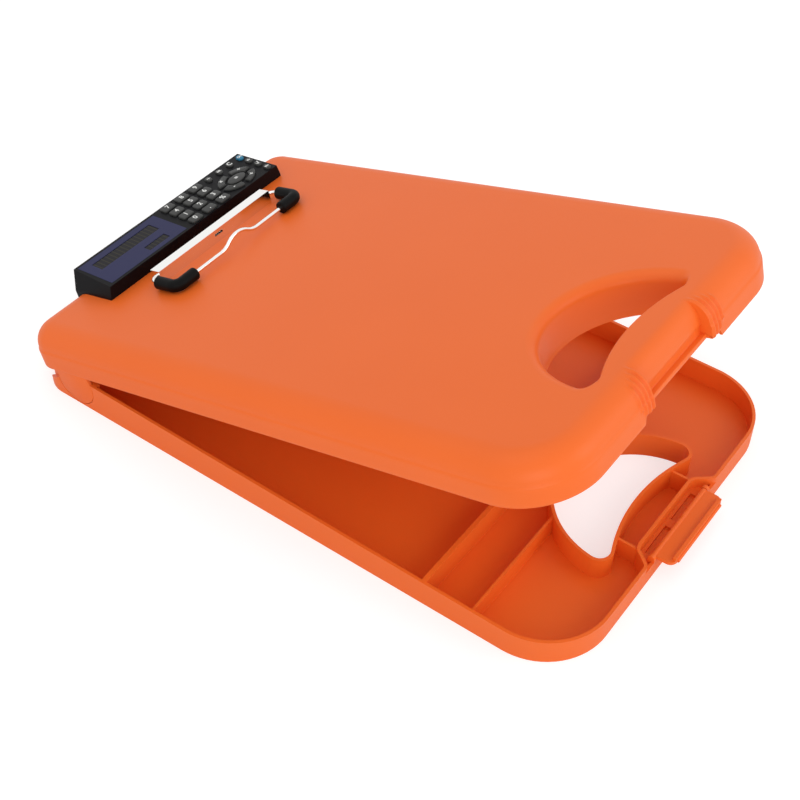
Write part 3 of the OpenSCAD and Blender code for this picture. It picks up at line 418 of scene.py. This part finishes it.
def plated(name, colour, roughness):
    """Plated or plain steel: metallic, with patches some millimetres wide of duller gloss."""
    patch_mm, uneven = 4, 0.2
    made = bpy.data.materials.new(name)
    made.use_nodes = True
    tree = made.node_tree
    tree.nodes.clear()
    place = add(tree, "TexCoord").outputs["Object"]
    patch = add(tree, "TexNoise", {"Vector": place, "Scale": 1000 / patch_mm, "Detail": 1.0})
    rough = add(tree, "MapRange", {"Value": patch.outputs["Fac"],
                                   "To Min": roughness * (1 - uneven),
                                   "To Max": roughness * (1 + uneven)})
    skin = add(tree, "BsdfPrincipled", {"Base Color": tint(colour), "Metallic": 1.0,
                                        "Roughness": rough.outputs["Result"]})
    add(tree, "OutputMaterial", {"Surface": skin.outputs["BSDF"]})
    return made


# Bright nickel mirrors the pale room, so it looks nearly white from above and orange in front
nickel = plated("nickel_plated_steel", "#f4f3f0", roughness=0.1)
softened("clip_channel", "channel_strip", "lid", nickel, radius_mm=0.3)
softened("clip_rivets", "channel_rivets", "lid", nickel, radius_mm=0.25)

# Bail and its coil: spring wire of 2.6 mm, bent to a loop with a raised thumb bend in front,
# and a coil of 0.9 mm wire round its axis, inside the channel, that presses the loop down.
# Both are plated as the channel is. Lengths are from the axis, at the middle of the clip.
bail_axis = (2.5, 349.8, 32.2)
wire_r, bend_r, leg_x, bail_reach, thumb_half, thumb_rise = 1.3, 5.0, 59.8, 25.0, 18.0, 5.5


def swept(path, rows, sides, closed, place):
    """Round body along a path: each row is a place along the path as a share of its points, and
    a radius; the ring stands square to the path, carried along without twist."""
    path = np.asarray(path, float)
    along = np.gradient(path, axis=0)
    along /= np.linalg.norm(along, axis=1)[:, None]
    number, at = np.arange(len(path)), rows[:, 0] * (len(path) - 1)
    angle = np.linspace(0, 2 * math.pi, sides, endpoint=False)[None, :, None]
    spots = np.stack([np.interp(at, number, part) for part in path.T], -1)
    ahead = np.stack([np.interp(at, number, part) for part in along.T], -1)
    ahead /= np.linalg.norm(ahead, axis=1)[:, None]
    up = np.array([0.0, 0.0, 1.0]) - ahead * ahead[:, 2:]
    flat = np.linalg.norm(up, axis=1) < 0.2
    up[flat] = np.array([0.0, 1.0, 0.0]) - ahead[flat] * ahead[flat][:, 1:2]
    up /= np.linalg.norm(up, axis=1)[:, None]
    across = np.cross(ahead, up)
    ring = across[:, None, :] * np.cos(angle) + up[:, None, :] * np.sin(angle)
    grid = spots[:, None, :] + ring * rows[:, 1][:, None, None]
    count = len(rows)
    caps = [] if closed else [list(range(sides))[::-1],
                              list(range((count - 1) * sides, count * sides))]
    return place(grid.reshape(-1, 3)), woven((count, sides), closed).tolist() + caps


def even_path(points, gap):
    """The same path with its points a fixed gap apart, found along its own length."""
    points = np.asarray(points, float)
    length = np.concatenate([[0], np.cumsum(np.linalg.norm(np.diff(points, axis=0), axis=1))])
    spots = np.linspace(0, length[-1], int(length[-1] / gap) + 2)
    return np.stack([np.interp(spots, length, part) for part in points.T], axis=-1)


def on_bail(points):
    """Frame metres of millimetres about the bail's axis, whose middle is on the clip's line."""
    return on_lid(np.asarray(points) + bail_axis)


def thumb_line():
    """The raised bend: two arcs that rise and one that arches over, all of one radius."""
    half, rise = thumb_half, thumb_rise
    radius = ((half / 2) ** 2 + rise ** 2 / 4) / rise
    swing = math.asin(half / 2 / radius)
    up = np.linspace(0, swing, 14)
    over = np.linspace(swing, -swing, 27)[1:-1]
    x = np.concatenate([-half + radius * np.sin(up), -radius * np.sin(over),
                        half - radius * np.sin(up[::-1])])
    z = np.concatenate([radius * (1 - np.cos(up)), rise - radius * (1 - np.cos(over)),
                        radius * (1 - np.cos(up[::-1]))])
    return np.column_stack([x, np.full(len(x), -bail_reach), z])


def corner_line(side):
    """One side of the loop: stub on the axis, rear corner, leg, front corner, front bar."""
    stub_x = 4.0
    rear = turn((leg_x - bend_r, -bend_r), bend_r, 90, 0, 12)[0]
    fore = turn((leg_x - bend_r, bend_r - bail_reach), bend_r, 0, -90, 12)[0]
    line = np.concatenate([[(stub_x, 0)], rear, fore, [(thumb_half, -bail_reach)]])
    return np.column_stack([side * line[:, 0], line[:, 1], np.zeros(len(line))])


loop = even_path(np.concatenate([corner_line(-1)[:-1], thumb_line(), corner_line(1)[::-1][1:]]),
                 gap=0.7)
wire_rows = np.column_stack([np.linspace(0, 1, len(loop)), np.full(len(loop), wire_r)])
build("bail_wire", [swept(loop, wire_rows, 20, False, on_bail)], nickel, "bail",
      ["clip_bail"])

# the coil is a helix of 15 turns round the axis
coil_turns, coil_half, coil_r, coil_wire_r = 15, 11.4, 2.1, 0.45
angle = np.linspace(0, 2 * math.pi * coil_turns, coil_turns * 20)
coil = np.column_stack([-coil_half + 2 * coil_half * angle / angle[-1], coil_r * np.cos(angle),
                        coil_r * np.sin(angle)])
coil_rows = np.column_stack([np.linspace(0, 1, len(coil)), np.full(len(coil), coil_wire_r)])
build("bail_coil", [swept(coil, coil_rows, 8, False, on_bail)], nickel, "lid",
      ["clip_spring"])

# Boots: sleeves of black nitrile rubber, moulded and pushed over the wire's corners, so that
# the bail grips without marking. They have rounded mouths and are a little slimmer between.
boot_r, mouth_r, rounding, bore_r, slimmer = 4.3, 3.1, 1.2, 1.32, 0.12
leg_end, bar_end = 7.0, 42.3
# Moulded rubber is matt and very dark, with hardly any sheen
rubber = moulded("nitrile_rubber_black", "#060606", "#040404", roughness=0.5, grain_mm=0.6,
                 grain_depth_mm=0.02, specular=0.12)
for side, name in ((-1, "boot_left"), (1, "boot_right")):
    # from the leg, round the front corner, to the front bar
    fore = turn((leg_x - bend_r, bend_r - bail_reach), bend_r, 0, -90, 24)[0]
    sleeve = np.concatenate([[(leg_x, -leg_end)], fore, [(bar_end, -bail_reach)]])
    sleeve = even_path(np.column_stack([side * sleeve[:, 0], sleeve[:, 1],
                                        np.zeros(len(sleeve))]), gap=0.5)
    long = np.linalg.norm(np.diff(sleeve, axis=0), axis=1).sum()
    # rows of place and radius: bore, rounded mouth, body, the other mouth, and back in the bore
    swing = np.radians(np.linspace(0, 90, 6))
    mouth = np.column_stack([rounding * (1 - np.cos(swing)) / long,
                             mouth_r + rounding * np.sin(swing)])
    middle = np.linspace(1.4, long - 1.4, 44) / long
    body_rows = np.column_stack([middle, boot_r - slimmer * np.sin(middle * math.pi) ** 2])
    rows = np.concatenate([[(0, bore_r)], mouth, body_rows, (mouth * (-1, 1) + (1, 0))[::-1],
                           [(1, bore_r), (0.5, bore_r)]])
    build(name + "_rubber", [swept(sleeve, rows, 28, True, on_bail)], rubber, "bail",
          [name], crease=60)

# Calculator case: two halves of black ABS, screwed together from below, the lower one fixed to
# the lid. Their fine eroded texture breaks the sheen, so that the case stays nearly black.
abs_black = moulded("abs_black", "#08070a", "#060508", roughness=0.4, grain_mm=0.35,
                    grain_depth_mm=0.01, specular=0.12)
softened("calc_case_top", "case_upper", "lid", abs_black, radius_mm=0.35)
softened("calc_case_bottom", "case_lower", "lid", abs_black, radius_mm=0.35)

# Face plate: a thin moulding of slate-blue polycarbonate, let into a pocket of the upper half.
# It is smoother than the case, and shows as a calm, even blue.


def dress(node, material):
    """The CAD node's own object takes the material on every face."""
    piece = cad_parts[node]
    piece.data.materials.clear()
    piece.data.materials.append(material)


slate = moulded("polycarbonate_slate", "#2c2d52", "#28294c", roughness=0.35, grain_mm=0.3,
                grain_depth_mm=0.004, specular=0.15)
dress("calc_face_plate", slate)

# Windows: two panes of smoked acrylic in the face plate, over the display and the solar cell.
# They are polished and almost black, and the segments and strips behind them show as faint
# upright lines.


def smoked(name, colour, line, pitch_mm, line_mm):
    """Smoked acrylic over upright lines, each line_mm wide and a pitch apart along the width."""
    made = bpy.data.materials.new(name)
    made.use_nodes = True
    tree = made.node_tree
    tree.nodes.clear()
    place = add(tree, "SeparateXYZ", {"Vector": add(tree, "TexCoord").outputs["Object"]})
    saw = add(tree, "Math", {0: place.outputs["X"], 1: pitch_mm / 1000},
              operation="FLOORED_MODULO")
    drawn = add(tree, "Math", {0: saw.outputs[0], 1: line_mm / 1000}, operation="LESS_THAN")
    tone = add(tree, "Mix", {0: drawn.outputs[0], FIRST_COLOUR: tint(colour),
                             SECOND_COLOUR: tint(line)}, data_type="RGBA")
    skin = add(tree, "BsdfPrincipled", {"Base Color": tone.outputs[MIXED_COLOUR],
                                        "Roughness": 0.12, "IOR": 1.49,
                                        "Specular IOR Level": 0.15})
    add(tree, "OutputMaterial", {"Surface": skin.outputs["BSDF"]})
    return made


dress("calc_window", smoked("acrylic_smoked", "#141116", "#2b281e", pitch_mm=3.4, line_mm=0.9))

# Inside the case: display cell, solar cell, laminate board, silicone key mat, button cell and
# four screws, held between the two halves. Almost none of them shows, so each has its own
# plain tone and gloss: glassy cells, a satin green board, a matt mat, and dull steel.
dress("calc_display", moulded("display_cell", "#4a4a38", "#44442f", 0.3, 0.3, 0.0))
dress("calc_solar_cell", moulded("solar_cell", "#2a1c22", "#241820", 0.25, 0.3, 0.0))
dress("calc_board", moulded("board_laminate", "#2f6b3a", "#2a6034", 0.5, 1.0, 0.0))
dress("calc_key_mat", moulded("silicone_mat", "#9a9a94", "#90908a", 0.6, 1.0, 0.0))
dress("calc_battery", plated("cell_steel", "#b9bcc0", 0.25))
dress("calc_screws", plated("screw_steel", "#8d8f92", 0.3))

# Keys: caps of dark grey ABS with rounded shoulders, one of them blue, moulded smoother than
# the case. Each stands in its own opening of the case on the rubber mat, and its sign is
# printed on it in white ink. Lengths are on the sloping face, from its front edge.


def on_face(points):
    """Frame metres of millimetres on the calculator's sloping face, from its front edge."""
    slope, edge_y, edge_z = math.atan(5.7 / 36), 366.5, 36.3
    x, y, z = np.moveaxis(np.asarray(points, float), -1, 0)
    return on_lid(np.stack([x, edge_y + y * math.cos(slope) - z * math.sin(slope),
                            edge_z + y * math.sin(slope) + z * math.cos(slope)], axis=-1))


def pill(x, y, wide, deep, corner):
    """Rectangle with round corners about a point, counterclockwise."""
    return np.concatenate([
        turn((x + sx * (wide / 2 - corner), y + sy * (deep / 2 - corner)), corner, a, a + 90, 9)[0]
        for sx, sy, a in ((1, 1, 0), (-1, 1, 90), (-1, -1, 180), (1, -1, 270))])


def quarter(middle):
    """Quarter of the key ring between two ellipses, its corners rounded by averaging the line
    over half a millimetre each way."""
    spread, outer_size, inner_size = 36, (16.2, 10.6), (10.1, 6.3)
    angle = np.radians(np.linspace(middle - spread, middle + spread, 40))
    ellipse = np.column_stack([np.cos(angle), np.sin(angle)])
    outer, inner = ellipse * outer_size, (ellipse * inner_size)[::-1]
    line = even_path(np.concatenate([outer, inner, outer[:1]]), gap=0.2)[:-1]
    for _ in range(2):
        line = sum(np.roll(line, k, axis=0) for k in range(-2, 3)) / 5
    return line


# where the columns of digits, the ring and the last column of small keys lie, and their rows
digit_x, ring_x, oval_x = 9.5, 61.4, 84.0
digit_pitch, oval_pitch, row_pitch = 14.0, 11.1, 8.75
row_y, ring_y, oval_drop = 4.7, 13.2, 0.6
# width, depth and corner radius of a cap, how much wider its foot is on each side, and half
# the width and depth of the oval middle key and of the oval on which the ring's signs stand
digit_size, oval_size, foot = (10.4, 6.6, 1.6), (4.4, 6.0, 2.15), 0.6
equals_size, sign_ring = (8.2, 4.4), (13.3, 8.6)
# each key has the middle of its print, its outline, and its foot
keys = {}
for k, name in enumerate(("key_0", "key_point", "key_percent", "key_1", "key_2", "key_3", "key_4",
                          "key_5", "key_6", "key_7", "key_8", "key_9")):
    spot = (digit_x + k % 3 * digit_pitch, row_y + k // 3 * row_pitch)
    keys[name] = (spot, pill(*spot, *digit_size), foot)
for name, column, row in (("key_on", 0, 3), ("key_clear", -1, 3), ("key_recall", -2, 3),
                          ("key_sign", -3, 3), ("key_memory", 0, 2), ("key_root", 0, 1),
                          ("key_store", 0, 0)):
    spot = (oval_x + column * oval_pitch, row_y + row * row_pitch - oval_drop)
    keys[name] = (spot, pill(*spot, *oval_size), foot)
for name, middle in (("key_divide", 45), ("key_times", 135), ("key_minus", 225),
                     ("key_plus", 315)):
    spot = (ring_x + sign_ring[0] * math.cos(math.radians(middle)),
            ring_y + sign_ring[1] * math.sin(math.radians(middle)))
    keys[name] = (spot, quarter(middle) + (ring_x, ring_y), 0.0)
angle = np.radians(np.linspace(0, 360, 48, endpoint=False))
keys["key_equals"] = ((ring_x, ring_y),
                      np.column_stack([ring_x + equals_size[0] * np.cos(angle),
                                       ring_y + equals_size[1] * np.sin(angle)]), 0.0)

# Key plastic has a soft sheen on its shoulders, and the ink on it is a little duller
abs_grey = moulded("abs_dark_grey", "#3a3a38", "#343433", 0.4, 0.3, 0.006)
abs_blue = moulded("abs_blue", "#2f7da0", "#2b7596", 0.4, 0.3, 0.006)
ink = moulded("printing_ink_white", "#e9e9e6", "#e2e2de", 0.5, 0.3, 0.0)
words = {"key_point": ".", "key_percent": "%", "key_clear": "C", "key_recall": "MR",
         "key_sign": "+/-", "key_memory": "M-", "key_root": "√", "key_store": "M+",
         "key_divide": "÷", "key_times": "×", "key_minus": "-", "key_plus": "+",
         "key_equals": "=", "key_on": "ON"}
# the text's size by its count of letters, how much bolder it is, and its height on the cap
text_size, text_bold, text_height = {1: 5.4, 2: 2.6, 3: 2.4}, 0.12, 1.53
for name, (spot, line, spread) in keys.items():
    # foot under the case, shaft through its opening, and rounded shoulder
    cap = [(0, -2.15, spread), (0, -1.45, spread), (0, -1.45, 0), (0, 0.7, 0), (0.1, 1.15, 0),
           (0.35, 1.42, 0), (0.75, 1.5, 0)]
    plastic, slot = (abs_blue, "blue_key_plastic") if name == "key_on" else (abs_grey,
                                                                              "key_plastic")
    build(name + "_cap", [pressed(line, cap, on_face)], plastic, name, [name], crease=50)
    # the sign is flat text, made a mesh, and laid just above the cap
    word = words.get(name, name[-1])
    text = bpy.data.curves.new(name + "_print", "FONT")
    text.body = word
    text.align_x = text.align_y = "CENTER"
    text.size = text_size[len(word)]
    text.offset = text_bold
    drawn = bpy.data.objects.new(name + "_drawn", text)
    mesh = bpy.data.meshes.new_from_object(drawn)
    bpy.data.objects.remove(drawn)
    flat = np.empty(len(mesh.vertices) * 3)
    mesh.vertices.foreach_get("co", flat)
    flat = flat.reshape(-1, 3) + (*spot, text_height)
    mesh.vertices.foreach_set("co", on_face(flat).ravel())
    mesh.materials.clear()
    mesh.materials.append(ink)
    printed = bpy.data.objects.new(name + "_print", mesh)
    bpy.context.scene.collection.objects.link(printed)
    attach(printed, name)

# Studio: a pale floor that looks nearly white to the camera and keeps the shadow, a soft pale
# surround, one large lamp above, one at the left and one in front, and the photograph's own
# viewpoint.
floor_half = 6
floor_mesh = bpy.data.meshes.new("floor")
floor_mesh.from_pydata([(x * floor_half, y * floor_half, 0)
                        for x, y in ((-1, -1), (1, -1), (1, 1), (-1, 1))], [], [(0, 1, 2, 3)])
floor = bpy.data.objects.new("floor", floor_mesh)
bpy.context.scene.collection.objects.link(floor)
pale = bpy.data.materials.new("pale_sheet")
pale.use_nodes = True
tree = pale.node_tree
tree.nodes.clear()
sheet = add(tree, "BsdfDiffuse", {"Color": tint("#eeeeee")})
shown = add(tree, "BsdfDiffuse", {"Color": tint("#c2c2c2")})
lift = add(tree, "Emission", {"Color": (1, 1, 1, 1), "Strength": 0.6})
both = add(tree, "AddShader")
tree.links.new(shown.outputs[0], both.inputs[0])
tree.links.new(lift.outputs[0], both.inputs[1])
seen = add(tree, "MixShader", {"Fac": add(tree, "LightPath").outputs["Is Camera Ray"]})
tree.links.new(sheet.outputs[0], seen.inputs[1])
tree.links.new(both.outputs[0], seen.inputs[2])
add(tree, "OutputMaterial", {"Surface": seen.outputs[0]})
floor_mesh.materials.append(pale)

# the surround is white where it is seen or mirrored, and a little dimmer as light
world = bpy.data.worlds.new("surround")
bpy.context.scene.world = world
world.use_nodes = True
tree = world.node_tree
tree.nodes.clear()
ray = add(tree, "LightPath")
direct = add(tree, "Math", {0: ray.outputs["Is Camera Ray"], 1: ray.outputs["Is Glossy Ray"]},
             operation="MAXIMUM")
level = add(tree, "MapRange", {"Value": direct.outputs[0], "To Min": 0.82, "To Max": 1.0})
around = add(tree, "Background", {"Color": (1, 1, 1, 1), "Strength": level.outputs["Result"]})
add(tree, "OutputWorld", {"Surface": around.outputs[0]})


def lamp(name, place, aim, size, power):
    """A square soft box at place, turned to aim, with its edge length and its power in watts."""
    light = bpy.data.lights.new(name, "AREA")
    light.size = size
    light.energy = power
    made = bpy.data.objects.new(name, light)
    made.location = place
    made.rotation_euler = (Vector(aim) - Vector(place)).to_track_quat("-Z", "Y").to_euler()
    bpy.context.scene.collection.objects.link(made)


lamp("overhead_box", place=(-0.5, 0.5, 1.7), aim=(0, 0, 0), size=1.4, power=2.6)
lamp("left_box", place=(-1.3, -1.1, 0.55), aim=(0, -0.05, 0.03), size=1.0, power=6)
lamp("front_box", place=(0.5, -1.4, 0.8), aim=(0.02, -0.15, 0.0), size=0.9, power=4.5)

# the camera as fitted to the photograph's outlines
azimuth, elevation, distance = math.radians(-53.742), math.radians(44.720), 0.89768
target = Vector((-0.00269, -0.00144, 0.0))
back = Vector((math.sin(azimuth) * math.cos(elevation), -math.cos(azimuth) * math.cos(elevation),
               math.sin(elevation)))
lens = bpy.data.cameras.new("camera")
lens.sensor_width = 36
lens.lens = 62.27
camera = bpy.data.objects.new("camera", lens)
camera.location = target + back * distance
camera.rotation_euler = back.to_track_quat("Z", "Y").to_euler()
bpy.context.scene.collection.objects.link(camera)
bpy.context.scene.camera = camera
bpy.context.scene.view_settings.view_transform = "Standard"
